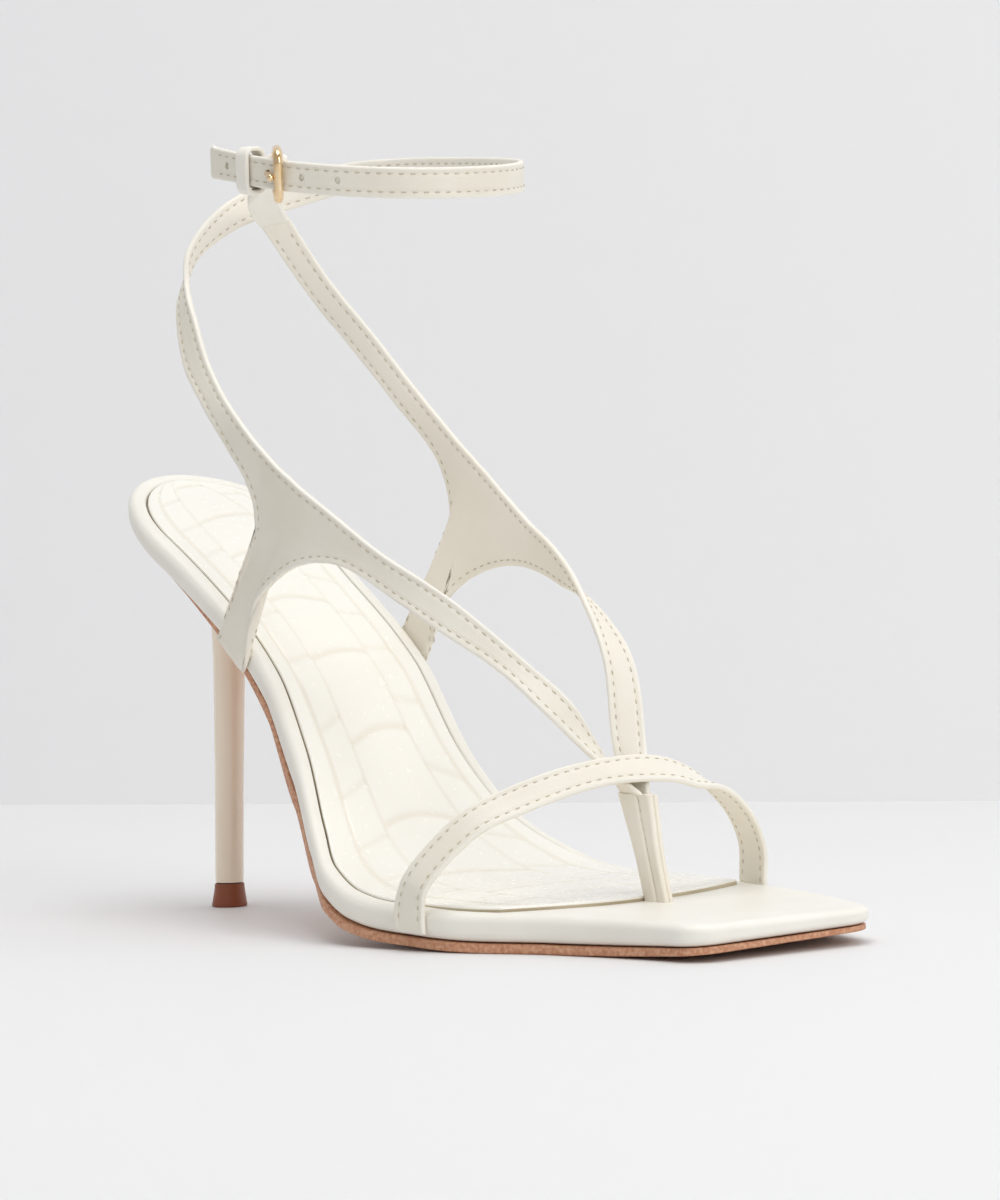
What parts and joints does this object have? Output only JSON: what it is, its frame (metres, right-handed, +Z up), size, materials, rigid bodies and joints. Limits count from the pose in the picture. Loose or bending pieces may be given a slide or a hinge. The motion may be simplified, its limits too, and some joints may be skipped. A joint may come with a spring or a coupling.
{
  "type": "heeled sandal",
  "caption": "Strappy high-heeled sandal with a square toe, toe post, curved side straps crossing behind the ankle, a buckled ankle strap and a slim stiletto heel.",
  "frame": {"origin": "on the floor at the centre of the heel tip's underside", "axes": "+X towards the toe, +Y towards the inner (medial) side of this right shoe, +Z up"},
  "size_m": [0.2114, 0.0933, 0.1833],
  "materials": {
    "ivory_leather": "satin",
    "insole_leather": "gloss",
    "sole_leather": "satin",
    "heel_lacquer": "gloss",
    "heel_tip": "satin",
    "buckle_metal": "polished"
  },
  "bodies": {
    "root": {"outsole": "sole_leather", "rim": "ivory_leather", "insole": "insole_leather", "heel": "heel_lacquer", "top_lift": "heel_tip", "upper": "ivory_leather", "thong": "ivory_leather", "keeper": "ivory_leather", "buckle": "buckle_metal", "prong": "buckle_metal"}
  },
  "joints": []
}
